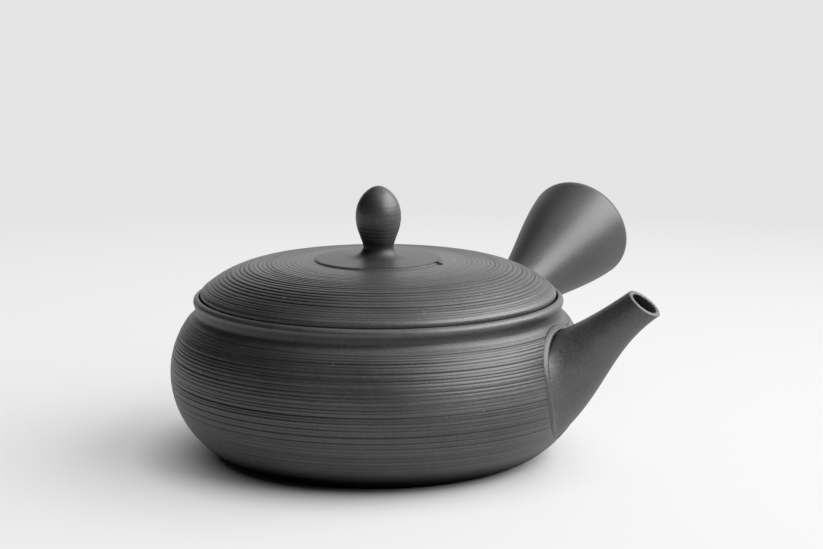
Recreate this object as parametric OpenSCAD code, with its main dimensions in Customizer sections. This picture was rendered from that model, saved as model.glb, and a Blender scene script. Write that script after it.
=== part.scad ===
// Side-handled teapot of unglazed stoneware: a thrown bowl with a luted spout, strainer and handle,
// and a loose lid with its knob. The origin is at the middle of the foot, +Z is up and the spout
// points along +X.

/* [Body] */
// Diameter of the belly at its widest
belly_d = 116; // [104:1:130]
// Height of the widest part of the belly
belly_h = 23.2; // [20:0.1:26]
// How far the foot's edge lies inside the belly
foot_in = 16.4; // [13:0.2:19]
// Thickness of the thrown wall
wall = 3; // [2.4:0.1:3.6]
// Thickness of the floor
floor_t = 3.5; // [2.5:0.1:5]

/* [Neck and rim] */
// Height of the rim above the table
body_h = 45; // [40:0.5:50]
// How far the rim's outside lies inside the belly
rim_in = 6.5; // [5:0.1:8]
// How far the top of the shoulder stands out past the rim
shoulder_step = 1.4; // [1:0.1:2]
// Width of the rim, between its outside and the lid's seat
rim_w = 1.8; // [1.6:0.1:2.4]
// Radius that rounds the rim's outer edge
lip_r = 1.4; // [1:0.1:1.6]
// Radius of the cove between shoulder and rim
cove_r = 2.8; // [2.2:0.1:3.2]
// Height from the middle of the cove up to the rim
cove_drop = 4; // [3.4:0.1:4.6]
// How far the cove is cut in behind the rim
cove_depth = 0.7; // [0.5:0.1:1]
// Depth of the lid's seat below the rim
seat_depth = 1.8; // [1.5:0.1:2.2]
// Width of the ledge that carries the lid
seat_w = 3.3; // [2.8:0.1:4]

/* [Lid] */
// Gap between the lid's edge and the rim
lid_gap = 0.35; // [0.3:0.05:0.6]
// Radius of the lid's flat crown
crown_r = 350; // [250:10:500]
// Radius of the lid's rounded shoulder
lid_shoulder_r = 28; // [24:1:32]
// Width of the lid's rounded shoulder, from its edge to the crown
lid_shoulder_w = 16.35; // [12:0.05:20]
// Radius that rounds the lid's edge
lid_edge_r = 1.6; // [1:0.1:2.4]
// Thickness of the lid
lid_t = 2.6; // [2:0.1:3.2]
// Depth of the locating skirt below the seat
skirt_depth = 4; // [3:0.5:6]
// Thickness of the locating skirt
skirt_t = 2.6; // [2:0.1:3.2]
// Gap between the skirt and the throat of the body
skirt_gap = 0.6; // [0.4:0.1:1]
// Diameter of the steam hole
vent_d = 2.8; // [2:0.1:3.5]

/* [Knob] */
// Diameter of the raised pad under the knob
pad_d = 35.8; // [30:0.2:40]
// Height of the pad above the crown
pad_t = 0.45; // [0.3:0.05:1]
// Height of the knob above the pad
knob_h = 19.8; // [16:0.2:24]
// Diameter of the knob at its widest
knob_d = 12.6; // [11:0.2:15]
// Diameter of the knob's stem
stem_d = 8.5; // [7.5:0.1:10]
// Diameter of the fillet where the stem meets the pad
stem_foot_d = 17; // [14:0.5:20]

/* [Spout] */
// Height of the middle of the spout's root above the belly's widest part
spout_up = 0.2; // [-1:0.1:2]
// Clearance between the top of the spout's root and the cove
root_clear = 0.6; // [0.4:0.1:2]
// Width of the spout's root, across the belly
root_w = 28; // [26:0.5:30]
// Outside diameter of the mouth
mouth_d = 10.2; // [9:0.2:13]
// How far the middle of the mouth stands out from the belly
spout_out = 19; // [15:0.5:24]
// How far the middle of the mouth lies above the rim
mouth_up = 2.4; // [0:0.2:6]
// Tilt of the mouth's face from upright, in degrees
mouth_tilt = 53; // [45:1:62]
// How fast the root narrows along the spout, where 1 is a straight cone
spout_flare = 2.05; // [1.6:0.05:2.4]
// Wall of the spout at its root
spout_root_wall = 2.6; // [2:0.1:3.2]
// Wall of the spout at its mouth
mouth_wall = 1.4; // [1:0.1:1.8]

/* [Strainer] */
// Width of the wall left between the spout's bore and the pouring hole
pour_margin = 3.7; // [3:0.1:5]
// How far the pierced dome reaches past the pouring hole
strainer_margin = 5; // [4:0.5:6]
// Thickness of the pierced dome
strainer_t = 1.8; // [1.4:0.1:2.2]
// Diameter of each strainer hole
pierce_d = 1.7; // [1.3:0.1:1.9]
// Rings of strainer holes around the middle one
pierce_rings = 4; // [2:1:4]
// Angle between two rings of strainer holes, in degrees
pierce_pitch = 14; // [13:0.5:15]

/* [Handle] */
// Angle from the spout to the handle, seen from above, in degrees
handle_angle = 80; // [70:1:95]
// Upward tilt of the handle, in degrees
handle_tilt = 20; // [14:1:24]
// Height of the handle's axis above the belly's widest part, where it leaves the belly
handle_up = 2.7; // [0:0.1:4]
// Length of the handle from the belly
handle_len = 64; // [54:1:76]
// Diameter of the handle at its root
handle_root_d = 13.8; // [12:0.2:16]
// Diameter of the handle at its end
handle_end_d = 34.6; // [30:0.2:38]
// How fast the handle widens: 1 is a straight cone
handle_flare = 1.65; // [1.4:0.05:2.2]
// Wall of the handle
handle_wall = 2.4; // [2:0.1:3]
// Radius that rounds the handle's end
handle_end_r = 3; // [2:0.2:4]
// Diameter of the opening in the handle's end
handle_open_d = 20; // [16:0.5:24]

/* [Slip] */
// Width of the band of slip around a luted joint
slip_w = 1.2; // [0.8:0.1:1.3]
// Thickness of the band of slip
slip_t = 0.5; // [0.3:0.1:0.8]
// Width of the fine crease between a luted piece and its slip
crease = 0.35; // [0.3:0.05:0.5]

/* [Hidden] */
$fn = 96;
clay = [0.17, 0.17, 0.175];
slip_clay = [0.22, 0.22, 0.22];

// Cutting tools reach this far past the faces they cut
past = 1;
// Hairline left between two luted pieces
lute_gap = 0.08;
// Sides of the lofted spout, its steps along the length and those across its root's wall
loft_sides = 56;
loft_steps = 14;
root_steps = 4;
// Facets of the wide circle that gives the lid's crown
crown_facets = 720;
// Facets of the strainer's dome and of its holes
dome_facets = 64;
pierce_facets = 20;
// Steps along the curved outlines of the handle and the knob
flare_steps = 14;
end_steps = 6;
bud_steps = 10;
// Steps across the rounded band of slip
slip_steps = 4;

// Radius of an arc that starts upright and moves in by one length while it climbs another
function arc_r(moved_in, climb) = (moved_in * moved_in + climb * climb) / (2 * moved_in);

belly_r = belly_d / 2;
rim_r = belly_r - rim_in;
seat_r = rim_r - rim_w;
seat_h = body_h - seat_depth;
throat_r = seat_r - seat_w;
cove_h = body_h - cove_drop;
shoulder_h = cove_h - cove_r;
under_r = arc_r(foot_in, belly_h);
shoulder_r = arc_r(rim_in - shoulder_step, shoulder_h - belly_h);
under_x = belly_r - under_r;
shoulder_x = belly_r - shoulder_r;
// The thick neck ends one wall's thickness below the cove
neck_end = shoulder_h - wall;

lid_r = seat_r - lid_gap;
crown_edge_r = lid_r - lid_shoulder_w;
crown_slope = asin(crown_edge_r / crown_r);
lid_shoulder_x = crown_edge_r - lid_shoulder_r * sin(crown_slope);
rim_slope = asin((lid_r - lid_edge_r - lid_shoulder_x) / (lid_shoulder_r - lid_edge_r));
lid_edge_start = lid_shoulder_x + lid_shoulder_r * sin(rim_slope);
lid_shoulder_h = body_h - (lid_shoulder_r - lid_edge_r) * cos(rim_slope);
crown_h = lid_shoulder_h + lid_shoulder_r * cos(crown_slope) - crown_r * cos(crown_slope);
lid_top = crown_h + crown_r;
skirt_r = throat_r - skirt_gap;
skirt_end = seat_h - skirt_depth;
pad_top = lid_top + pad_t;
pad_r = pad_d / 2;
vent_x = pad_r;

// Where the spout's middle line starts inside the belly, and how it leans and climbs
root_sink = 2.4;
spout_lean = 0.335;
spout_climb = 0.53;
// How gently the spout starts to tilt above its root, where 1 is at once
tilt_ease = 1.05;
// How much wider the root is at its top than at its middle
root_egg = 0.25;
// How soon the spout leaves the curve of the belly
root_leave = 5;
spout_h = belly_h + spout_up;
spout_root_x = belly_r - root_sink;
spout_root_r = shoulder_h - root_clear - spout_h;
mouth_r = mouth_d / 2;
mouth_x = belly_r + spout_out;
mouth_h = body_h + mouth_up;
spout_rise = mouth_h - spout_h;

// How far the dome's middle lies inside the wall, and the handle's foot inside the belly
strainer_sink = 0.6;
handle_sink = 2;
pour_r = spout_root_r - spout_root_wall - pour_margin;
strainer_r = pour_r + strainer_margin;
strainer_x = belly_r - wall - strainer_sink;
handle_h = belly_h + handle_up;
handle_x = belly_r - handle_sink;
handle_end_x = handle_len + handle_sink;

// Where the knob's stem ends and where it is widest, as shares of its height
stem_share = 0.15;
widest_share = 0.565;
// How low the knob swells out above its stem
swell_fullness = 0.72;
// How full and how blunt the knob's tip is
tip_fullness = 2.1;
tip_bluntness = 0.6;
// Holes that each ring of the strainer has more than the ring inside it
ring_holes = 6;

// Half section of the belly, drawn in by inset from its outside
module belly_section(inset) {
    floor_h = inset > 0 ? floor_t : 0;
    intersection() {
        translate([under_x, belly_h]) circle(r = under_r - inset);
        translate([under_x, floor_h]) square([belly_r, belly_h - floor_h]);
    }
    translate([0, floor_h]) square([under_x, belly_h - floor_h]);
    intersection() {
        translate([shoulder_x, belly_h]) circle(r = shoulder_r - inset);
        translate([shoulder_x, belly_h]) square([belly_r, cove_h - belly_h]);
    }
    translate([0, belly_h]) square([shoulder_x, cove_h - belly_h]);
}

// Half section of the whole outside: belly, cove and rim
module outside_section() {
    difference() {
        union() {
            belly_section(0);
            translate([0, belly_h]) square([rim_r, body_h - lip_r - belly_h]);
            translate([0, belly_h]) square([rim_r - lip_r, body_h - belly_h]);
            translate([rim_r - lip_r, body_h - lip_r]) circle(r = lip_r);
        }
        translate([rim_r - cove_depth + cove_r, cove_h]) circle(r = cove_r);
    }
}

// Half section of the room inside: bowl, throat and the lid's seat
module inside_section() {
    difference() {
        belly_section(wall);
        translate([throat_r, neck_end]) square([belly_r, body_h]);
    }
    translate([0, belly_h]) square([throat_r, body_h + past - belly_h]);
    translate([0, seat_h]) square([seat_r, body_h + past - seat_h]);
}

module outside() {
    rotate_extrude() outside_section();
}

// Half section of the lid's top surface and all below it, down to the seat
module lid_top_section() {
    intersection() {
        translate([0, crown_h]) circle(r = crown_r, $fn = crown_facets);
        translate([0, seat_h]) square([crown_edge_r, body_h]);
    }
    intersection() {
        translate([lid_shoulder_x, lid_shoulder_h]) circle(r = lid_shoulder_r);
        translate([crown_edge_r, seat_h]) square([lid_edge_start - crown_edge_r, body_h]);
    }
    translate([lid_r - lid_edge_r, body_h]) circle(r = lid_edge_r);
    translate([crown_edge_r, seat_h]) square([lid_r - crown_edge_r, body_h - seat_h]);
}

// Half section of the hollow under the lid
module lid_hollow_section() {
    intersection() {
        translate([0, crown_h]) circle(r = crown_r - lid_t, $fn = crown_facets);
        translate([0, skirt_end - past]) square([crown_edge_r, body_h]);
    }
    intersection() {
        translate([lid_shoulder_x, lid_shoulder_h]) circle(r = lid_shoulder_r - lid_t);
        translate([crown_edge_r, seat_h]) square([skirt_r - skirt_t - crown_edge_r, body_h]);
    }
    translate([0, skirt_end - past]) square([skirt_r - skirt_t, seat_h + past - skirt_end]);
}

module steam_hole() {
    translate([vent_x, 0, seat_h]) cylinder(d = vent_d, h = pad_top - seat_h + past);
}

// A tube skinned over closed rings of equal count, whose last ring joins its first
module skin(rings) {
    sides = len(rings[0]);
    count = len(rings);
    points = [for (ring = rings) each ring];
    faces = [for (i = [0 : count - 1], j = [0 : sides - 1]) let (
        k = (j + 1) % sides,
        here = i * sides,
        next = (i + 1) % count * sides
    ) each [[here + j, next + k, here + k], [here + j, next + j, next + k]]];
    polyhedron(points = points, faces = faces);
}

// Outside radius of the belly at height z
function belly_r_at(z) = z < belly_h
    ? under_x + sqrt(under_r * under_r - (z - belly_h) * (z - belly_h))
    : shoulder_x + sqrt(shoulder_r * shoulder_r - (z - belly_h) * (z - belly_h));

// The spout's middle line leaves the root steeply and leans out to the mouth, where t is 1
function bend(a, b, c, t) = a * (1 - t) * (1 - t) + 2 * b * t * (1 - t) + c * t * t;
function spout_x(t) = bend(spout_root_x, spout_root_x + spout_out * spout_lean, mouth_x, t);
function spout_z(t) = bend(spout_h, spout_h + spout_rise * spout_climb, mouth_h, t);
function spout_tilt(t) = mouth_tilt * pow(t, tilt_ease) * (1 + tilt_ease - t) / tilt_ease;
function spout_wall(t) = mouth_wall + (spout_root_wall - mouth_wall) * (1 - t);
function narrowed(root, t) = mouth_r + (root - mouth_r) * pow(1 - t, spout_flare);

// Half the root's width, measured at angle a
function root_half_w(a) = root_w / 2 * (1 + root_egg * sin(a));
// The point at angle a where the spout's outside, drawn in by inset, meets the belly
function root_point(a, inset) = let (
    y = (root_half_w(a) - inset) * cos(a),
    z = spout_h + (spout_root_r - inset) * sin(a),
    r = belly_r_at(z) + lute_gap
) [sqrt(r * r - y * y), y, z];

// The point at angle a on the spout's outside, or on its bore where inset is 1
function spout_point(t, a, inset) = let (
    thick = inset * spout_wall(t),
    high = narrowed(spout_root_r, t) - thick,
    wide = narrowed(root_half_w(a), t) - thick,
    to_belly = root_point(a, inset * spout_root_wall).x - spout_root_x
) [
    spout_x(t) - high * sin(a) * sin(spout_tilt(t)) + to_belly * pow(1 - t, root_leave),
    wide * cos(a),
    spout_z(t) + high * sin(a) * cos(spout_tilt(t))
];

loft_angles = [for (j = [0 : loft_sides - 1]) 360 * j / loft_sides];
// Rings from the root on the belly to the mouth
function spout_rings(inset) = [
    for (i = [0 : loft_steps]) [for (a = loft_angles) spout_point(i / loft_steps, a, inset)]
];
// Ring on the belly, drawn in by inset from the spout's outside
function root_ring(inset) = [for (a = loft_angles) root_point(a, inset)];
function backward(list) = [for (i = [len(list) - 1 : -1 : 0]) list[i]];

// Direction that points straight out of the belly at a point on it
function belly_normal(p) = let (
    up = p.z - belly_h,
    arc = up < 0 ? under_r : shoulder_r,
    out = sqrt(arc * arc - up * up) / norm([p.x, p.y])
) [out * p.x, out * p.y, up] / arc;

// A ring of the rounded band of slip, a share of the way across it and a height above its foot.
// The band starts a fine crease away from the spout.
function slip_ring(share, height) =
    [for (foot = root_ring(-crease - slip_w * share)) foot + height * belly_normal(foot)];

// Moves an upright shape onto the handle's axis
module on_handle_axis() {
    rotate([0, 0, handle_angle])
        translate([handle_x, 0, handle_h])
            rotate([0, 90 - handle_tilt, 0])
                children();
}

function handle_r(s) = handle_root_d / 2
    + (handle_end_d - handle_root_d) / 2 * pow(max(0, s / handle_end_x), handle_flare);

// Half section of the hollow handle, with its end turned in to the opening
module handle_section() {
    start = -handle_root_d;
    turn_x = handle_end_x - handle_end_r;
    turn_r = handle_r(turn_x) - handle_end_r;
    inner_turn = handle_end_r - handle_wall;
    open_r = handle_open_d / 2;
    outer = [for (i = [0 : flare_steps]) let (s = start + (turn_x - start) * i / flare_steps) [handle_r(s), s]];
    round_over = [for (i = [1 : end_steps]) let (a = 90 * i / end_steps)
        [turn_r + handle_end_r * cos(a), turn_x + handle_end_r * sin(a)]];
    opening = [[open_r, handle_end_x], [open_r, handle_end_x - handle_wall]];
    inner = [for (i = [flare_steps : -1 : 0]) let (s = start + (turn_x + inner_turn - start) * i / flare_steps)
        [handle_r(s) - handle_wall, s]];
    polygon(concat(outer, round_over, opening, inner));
}

// A band of slip on the belly, inside the shape given as its child
module slip_band() {
    difference() {
        intersection() {
            rotate_extrude() belly_section(-slip_t);
            children();
        }
        outside();
    }
}

module body() color(clay) {
    difference() {
        outside();
        rotate_extrude() inside_section();
        translate([strainer_x - strainer_r, 0, spout_h])
            rotate([0, 90, 0]) cylinder(r = pour_r, h = 2 * strainer_r);
    }
}

module spout() color(clay) {
    root_face = [for (i = [1 : root_steps - 1]) root_ring(spout_root_wall * (1 - i / root_steps))];
    skin(concat(spout_rings(0), backward(spout_rings(1)), root_face));
}

module spout_slip() color(slip_clay) {
    top = [for (i = [slip_steps : -1 : 0]) slip_ring(i / slip_steps, slip_t * sin(180 * i / slip_steps))];
    base = [for (i = [1 : slip_steps - 1]) slip_ring(i / slip_steps, 0)];
    skin(concat(top, base));
}

module strainer() color(clay) {
    intersection() {
        translate([strainer_x, 0, spout_h]) difference() {
            sphere(r = strainer_r, $fn = dome_facets);
            sphere(r = strainer_r - strainer_t, $fn = dome_facets);
            strainer_holes();
        }
        rotate_extrude() inside_section();
    }
}

// Rings of holes that point at the middle of the dome
module strainer_holes() {
    for (n = [0 : pierce_rings]) {
        holes = max(1, ring_holes * n);
        for (k = [0 : holes - 1])
            rotate([360 * k / holes, 0, 0])
                rotate([0, -90 + n * pierce_pitch, 0])
                    translate([0, 0, strainer_r - strainer_t - past])
                        cylinder(d = pierce_d, h = strainer_t + 2 * past, $fn = pierce_facets);
    }
}

module handle() color(clay) {
    difference() {
        on_handle_axis() rotate_extrude() handle_section();
        outside();
    }
}

module handle_slip() color(slip_clay) {
    difference() {
        slip_band()
            on_handle_axis()
                cylinder(d = handle_root_d + 2 * (crease + slip_w), h = handle_root_d, center = true);
        on_handle_axis() cylinder(d = handle_root_d + 2 * crease, h = handle_end_d, center = true);
    }
}

module lid() color(clay) {
    difference() {
        rotate_extrude() difference() {
            union() {
                lid_top_section();
                translate([0, skirt_end]) square([skirt_r, seat_h + past - skirt_end]);
            }
            lid_hollow_section();
        }
        steam_hole();
    }
}

// Half section of the bud-shaped knob above the pad
module bud_section() {
    foot = stem_foot_d / 2;
    stem = stem_d / 2;
    widest = knob_d / 2;
    stem_h = knob_h * stem_share;
    widest_h = knob_h * widest_share;
    foot_h = crown_h + sqrt(pow(crown_r + pad_t, 2) - foot * foot);
    fillet = [for (i = [0 : bud_steps]) let (a = 90 * i / bud_steps)
        [stem + (foot - stem) * (1 - sin(a)), foot_h + (pad_top + stem_h - foot_h) * (1 - cos(a))]];
    swell = [for (i = [1 : bud_steps]) let (t = i / bud_steps)
        [stem + (widest - stem) * (1 - cos(180 * pow(t, swell_fullness))) / 2,
            pad_top + stem_h + (widest_h - stem_h) * t]];
    tip = [for (i = [1 : bud_steps]) let (t = i / bud_steps)
        [widest * pow(1 - pow(t, tip_fullness), tip_bluntness), pad_top + widest_h + (knob_h - widest_h) * t]];
    polygon(concat([[0, pad_top - past], [foot, pad_top - past]], fillet, swell, tip));
}

module knob() color(clay) {
    difference() {
        rotate_extrude() difference() {
            union() {
                bud_section();
                intersection() {
                    translate([0, crown_h]) circle(r = crown_r + pad_t, $fn = crown_facets);
                    square([pad_r, pad_top]);
                }
            }
            lid_top_section();
            square([pad_r + past, seat_h + past]);
        }
        steam_hole();
    }
}

body();
spout();
spout_slip();
strainer();
handle();
handle_slip();
lid();
knob();
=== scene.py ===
"""Looks of the side-handled teapot: turned clay with throwing lines, luted spout and handle."""

import math

import bpy
import numpy as np
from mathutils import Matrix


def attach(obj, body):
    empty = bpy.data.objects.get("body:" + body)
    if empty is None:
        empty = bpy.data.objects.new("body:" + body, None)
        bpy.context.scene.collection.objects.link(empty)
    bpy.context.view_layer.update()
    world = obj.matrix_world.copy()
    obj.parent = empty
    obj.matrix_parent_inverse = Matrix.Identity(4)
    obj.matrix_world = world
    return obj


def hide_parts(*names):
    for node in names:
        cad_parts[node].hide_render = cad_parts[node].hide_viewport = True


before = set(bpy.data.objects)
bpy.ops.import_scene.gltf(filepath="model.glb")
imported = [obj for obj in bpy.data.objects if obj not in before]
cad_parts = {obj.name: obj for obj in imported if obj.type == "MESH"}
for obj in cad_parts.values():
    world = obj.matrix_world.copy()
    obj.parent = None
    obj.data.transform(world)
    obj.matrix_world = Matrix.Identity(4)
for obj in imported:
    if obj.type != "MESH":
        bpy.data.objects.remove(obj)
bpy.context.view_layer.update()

# Lengths are in millimetres and angles in degrees where nothing else is said. Meshes are made in metres.
MM = 0.001
TURN = 2 * math.pi

# Sizes of the part: body
BELLY_R = 58.0
BELLY_H = 23.2
UNDER_R = 24.61
SHOULDER_R = 24.61
WALL = 3.0
FLOOR_T = 3.5
BODY_H = 45.0
RIM_R = 51.5
RIM_W = 1.8
LIP_R = 1.4
COVE_R = 2.8
COVE_DEPTH = 0.7
COVE_DROP = 4.0
COVE_X = RIM_R - COVE_DEPTH + COVE_R
COVE_H = BODY_H - COVE_DROP
SHOULDER_H = COVE_H - COVE_R
SEAT_DEPTH = 1.8
SEAT_W = 3.3
SEAT_R = RIM_R - RIM_W
SEAT_H = BODY_H - SEAT_DEPTH
THROAT_R = SEAT_R - SEAT_W
NECK_END = SHOULDER_H - WALL
UNDER_X = BELLY_R - UNDER_R
SHOULDER_X = BELLY_R - SHOULDER_R

# Sizes of the part: lid and knob
LID_GAP = 0.35
LID_R = SEAT_R - LID_GAP
CROWN_R = 350.0
LID_SHOULDER_W = 16.35
CROWN_EDGE_R = LID_R - LID_SHOULDER_W
LID_SHOULDER_R = 28.0
LID_EDGE_R = 1.6
LID_T = 2.6
SKIRT_GAP = 0.6
SKIRT_R = THROAT_R - SKIRT_GAP
SKIRT_T = 2.6
SKIRT_DEPTH = 4.0
SKIRT_END = SEAT_H - SKIRT_DEPTH
PAD_R = 17.9
PAD_T = 0.45
KNOB_H = 19.8
VENT_R = 1.4
CROWN_SLOPE = math.asin(CROWN_EDGE_R / CROWN_R)
LID_SHOULDER_X = CROWN_EDGE_R - LID_SHOULDER_R * math.sin(CROWN_SLOPE)
RIM_SLOPE = math.asin((LID_R - LID_EDGE_R - LID_SHOULDER_X) / (LID_SHOULDER_R - LID_EDGE_R))
LID_SHOULDER_H = BODY_H - (LID_SHOULDER_R - LID_EDGE_R) * math.cos(RIM_SLOPE)
CROWN_H = LID_SHOULDER_H + (LID_SHOULDER_R - CROWN_R) * math.cos(CROWN_SLOPE)
LID_TOP = CROWN_H + CROWN_R
PAD_TOP = LID_TOP + PAD_T

# Sizes of the part: spout, handle and slip
SPOUT_H = 23.4
SPOUT_OUT = 19.0
SPOUT_ROOT_X = 55.6
SPOUT_ROOT_R = 14.2
ROOT_HALF_W = 14.0
ROOT_EGG = 0.25
ROOT_LEAVE = 5.0
ROOT_WALL = 2.6
MOUTH_WALL = 1.4
MOUTH_X = BELLY_R + SPOUT_OUT
MOUTH_H = 47.4
MOUTH_R = 5.1
MOUTH_TILT = math.radians(53)
TILT_EASE = 1.05
SPOUT_LEAN = 0.335
SPOUT_CLIMB = 0.53
SPOUT_LEAN_X = SPOUT_ROOT_X + SPOUT_LEAN * SPOUT_OUT
SPOUT_CLIMB_H = SPOUT_H + SPOUT_CLIMB * (MOUTH_H - SPOUT_H)
SPOUT_FLARE = 2.05
HANDLE_ANGLE = 80.0
HANDLE_TILT = 20.0
HANDLE_X = 56.0
HANDLE_H = 25.9
HANDLE_END = 66.0
HANDLE_WALL = 2.4
HANDLE_OPEN_R = 10.0
HANDLE_ROOT_R = 6.9
CREASE = 0.35
SLIP_T = 0.5

# The pouring hole's radius is 0.1 mm larger than the part's
POUR_R = 8.0

# Sizes that follow the photo more closely than the part's: a lower rim, wider slip of which a share is
# wiped off underneath, and a bell-shaped handle that widens between two shares of its length
RIM_LOWERED = 0.4
RIM_TOP = BODY_H - RIM_LOWERED
SLIP_SPREAD = 1.6
UNDER_WIPE = 0.6
HANDLE_FLARE = 10.2
FLARE_START = 0.2
FLARE_END = 1.05
HANDLE_ROUND = 4.0
# Slope of the handle's flare where its rounded end starts
FLARE_ANGLE = math.radians(7.5)

# A turned line this deep gets the full painted shade that stands in for the shade in its bottom
FULL_PAINTED_SHADE_DEPTH = 0.24
# Visual pieces sink this far into the clay that they are luted to
SUNK = 0.15
# Spacing of points along outlines that carry turned lines
FINE_STEP = 0.1
# Width of small bevels
BEVEL = 0.3


def arc(x, z, radius, start, end, steps):
    """Points of an arc about (x, z), with the angles in degrees."""
    angles = np.radians(np.linspace(start, end, steps))
    return np.stack([x + radius * np.cos(angles), z + radius * np.sin(angles)], -1)


def joined(*stretches):
    """One outline from stretches, without points that lie on each other."""
    points = np.vstack([np.asarray(stretch, float) for stretch in stretches])
    apart = np.linalg.norm(np.diff(points, axis=0), axis=1) > 1e-6
    return points[np.concatenate([[True], apart])]


def evenly(outline, step):
    """The outline with points at an even step along it."""
    length = np.concatenate([[0], np.cumsum(np.linalg.norm(np.diff(outline, axis=0), axis=1))])
    places = np.linspace(0, length[-1], int(round(length[-1] / step)) + 1)
    return np.stack([np.interp(places, length, outline[:, k]) for k in range(2)], -1)


def softened(outline, passes):
    """The outline with its corners rounded by averaging neighbours, its ends kept."""
    for _ in range(passes):
        inner = (outline[:-2] + 2 * outline[1:-1] + outline[2:]) / 4
        outline = np.vstack([outline[:1], inner, outline[-1:]])
    return outline


def smooth_step(value, start, end):
    """0 before start, 1 after end and a smooth rise between them."""
    share = np.clip((value - start) / (end - start), 0, 1)
    return share * share * (3 - 2 * share)


def mesh_object(name, points, faces, painted_shade=None):
    """A smooth-shaded mesh object from points in millimetres. Painted shade gives each point's share of
    shade painted into its colour.
    """
    mesh = bpy.data.meshes.new(name)
    mesh.from_pydata((np.asarray(points) * MM).tolist(), [], faces)
    mesh.polygons.foreach_set("use_smooth", [True] * len(mesh.polygons))
    if painted_shade is not None:
        # The attribute named cut holds the painted shade, not only the depth of the turned lines
        mesh.attributes.new("cut", "FLOAT", "POINT").data.foreach_set("value", painted_shade)
    mesh.update()
    piece = bpy.data.objects.new(name, mesh)
    bpy.context.scene.collection.objects.link(piece)
    return piece


def lathe(name, outline, sides, relief, shade=None):
    """Turns an outline of (radius, height) points, from axis to axis, about Z.

    Relief moves each point out. Shade says how much painted shade a ring gets in a hollow, and deeper
    turned lines get painted shade too.
    """
    angles = np.linspace(0, TURN, sides, endpoint=False)
    middle = outline[1:-1]
    slope = np.gradient(outline, axis=0)[1:-1]
    normal = np.stack([slope[:, 1], -slope[:, 0]], -1)
    normal /= np.linalg.norm(normal, axis=1)[:, None]
    moved = relief(middle, angles)
    radius = middle[:, :1] + normal[:, :1] * moved
    height = middle[:, 1:] + normal[:, 1:] * moved
    rings = np.stack([radius * np.cos(angles), radius * np.sin(angles), height], -1)
    points = np.vstack([rings.reshape(-1, 3), [[0, 0, outline[0, 1]], [0, 0, outline[-1, 1]]]])
    count = len(middle)
    here = np.arange(sides)
    after = (here + 1) % sides
    faces = []
    for ring in range(count - 1):
        low, high = ring * sides, (ring + 1) * sides
        faces += np.stack([low + here, low + after, high + after, high + here], -1).tolist()
    first, last = count * sides, count * sides + 1
    top = (count - 1) * sides
    faces += np.stack([np.full(sides, first), after, here], -1).tolist()
    faces += np.stack([np.full(sides, last), top + here, top + after], -1).tolist()
    # Painted shade: a deeper turned line gets a darker colour and less shine in the material
    painted_shade = np.clip(-moved / FULL_PAINTED_SHADE_DEPTH, 0, 1)
    if shade is not None:
        painted_shade = np.maximum(painted_shade, shade(middle)[:, None])
    return mesh_object(name, points, faces, np.concatenate([painted_shade.ravel(), [0, 0]]))


def skin(name, rings, painted_shade=None):
    """A closed tube over rings of equal count, the last joined to the first. The painted shade is one
    share per ring.
    """
    rings = np.asarray(rings)
    count, sides = rings.shape[:2]
    here = np.arange(sides)
    after = (here + 1) % sides
    faces = []
    for ring in range(count):
        low, high = ring * sides, (ring + 1) % count * sides
        faces += np.stack([low + here, high + here, high + after, low + after], -1).tolist()
    if painted_shade is not None:
        painted_shade = np.repeat(painted_shade, sides)
    return mesh_object(name, rings.reshape(-1, 3), faces, painted_shade)


def rod(radius, start, end, sides=48):
    """A closed cylinder between two points, used as a drill."""
    start, end = np.asarray(start, float), np.asarray(end, float)
    along = (end - start) / np.linalg.norm(end - start)
    side = np.cross(along, [0.0, 1.0, 0.0])
    side /= np.linalg.norm(side)
    other = np.cross(along, side)
    angles = np.linspace(0, TURN, sides, endpoint=False)[:, None]
    circle = radius * (np.cos(angles) * side + np.sin(angles) * other)
    here = list(range(sides))
    faces = [(k, (k + 1) % sides, sides + (k + 1) % sides, sides + k) for k in here]
    faces += [here[::-1], [sides + k for k in here]]
    return mesh_object("drill", np.vstack([start + circle, end + circle]), faces)


def drilled(piece, drill):
    """Cuts the drill's shape out of the piece and removes the drill."""
    cut = piece.modifiers.new("drill", "BOOLEAN")
    cut.operation = "DIFFERENCE"
    cut.object = drill
    cut.solver = "MANIFOLD"
    bpy.context.view_layer.update()
    evaluated = piece.evaluated_get(bpy.context.evaluated_depsgraph_get())
    mesh = bpy.data.meshes.new_from_object(evaluated)
    piece.modifiers.clear()
    piece.data = mesh
    bpy.data.objects.remove(drill)
    return piece


# A ripple adds this many waves, whose lengths lie between two shares of its pitch
RIPPLE_WAVES = 7
SHORT_WAVE = 0.6
LONG_WAVE = 2.2


def ripple(place, angles, seed, pitch, swing):
    """Fine uneven lines: waves along the outline whose phase drifts slowly around the turn."""
    chance = np.random.default_rng(seed)
    total = np.zeros((len(place), len(angles)))
    for wave in range(RIPPLE_WAVES):
        length = pitch * chance.uniform(SHORT_WAVE, LONG_WAVE)
        phase = chance.uniform(0, TURN)
        drift = swing * np.sin((1 + wave % 3) * angles + chance.uniform(0, TURN))
        total += np.sin(TURN * place[:, None] / length + phase + drift[None, :])
    return total / RIPPLE_WAVES


# How far a turned line strays from its place around the turn, and the share by which its depth varies
STRAY = 0.06
FINE_STRAY = 0.04
UNEVEN = 0.2


def grooves(place, angles, lines, seed):
    """Turned lines, each (place, depth, width), cut to a sharp bottom and uneven around the turn."""
    chance = np.random.default_rng(seed)
    total = np.zeros((len(place), len(angles)))
    for middle, depth, width in lines:
        stray = STRAY * np.sin(angles + chance.uniform(0, TURN))
        fine_stray = FINE_STRAY * np.sin(2 * angles + chance.uniform(0, TURN))
        swings = chance.integers(1, 4)
        uneven = 1 - UNEVEN + UNEVEN * np.sin(angles * swings + chance.uniform(0, TURN))
        away = np.abs(place[:, None] - middle - (stray + fine_stray)[None, :])
        total -= depth * uneven[None, :] * np.exp(-away / width)
    return total


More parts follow.
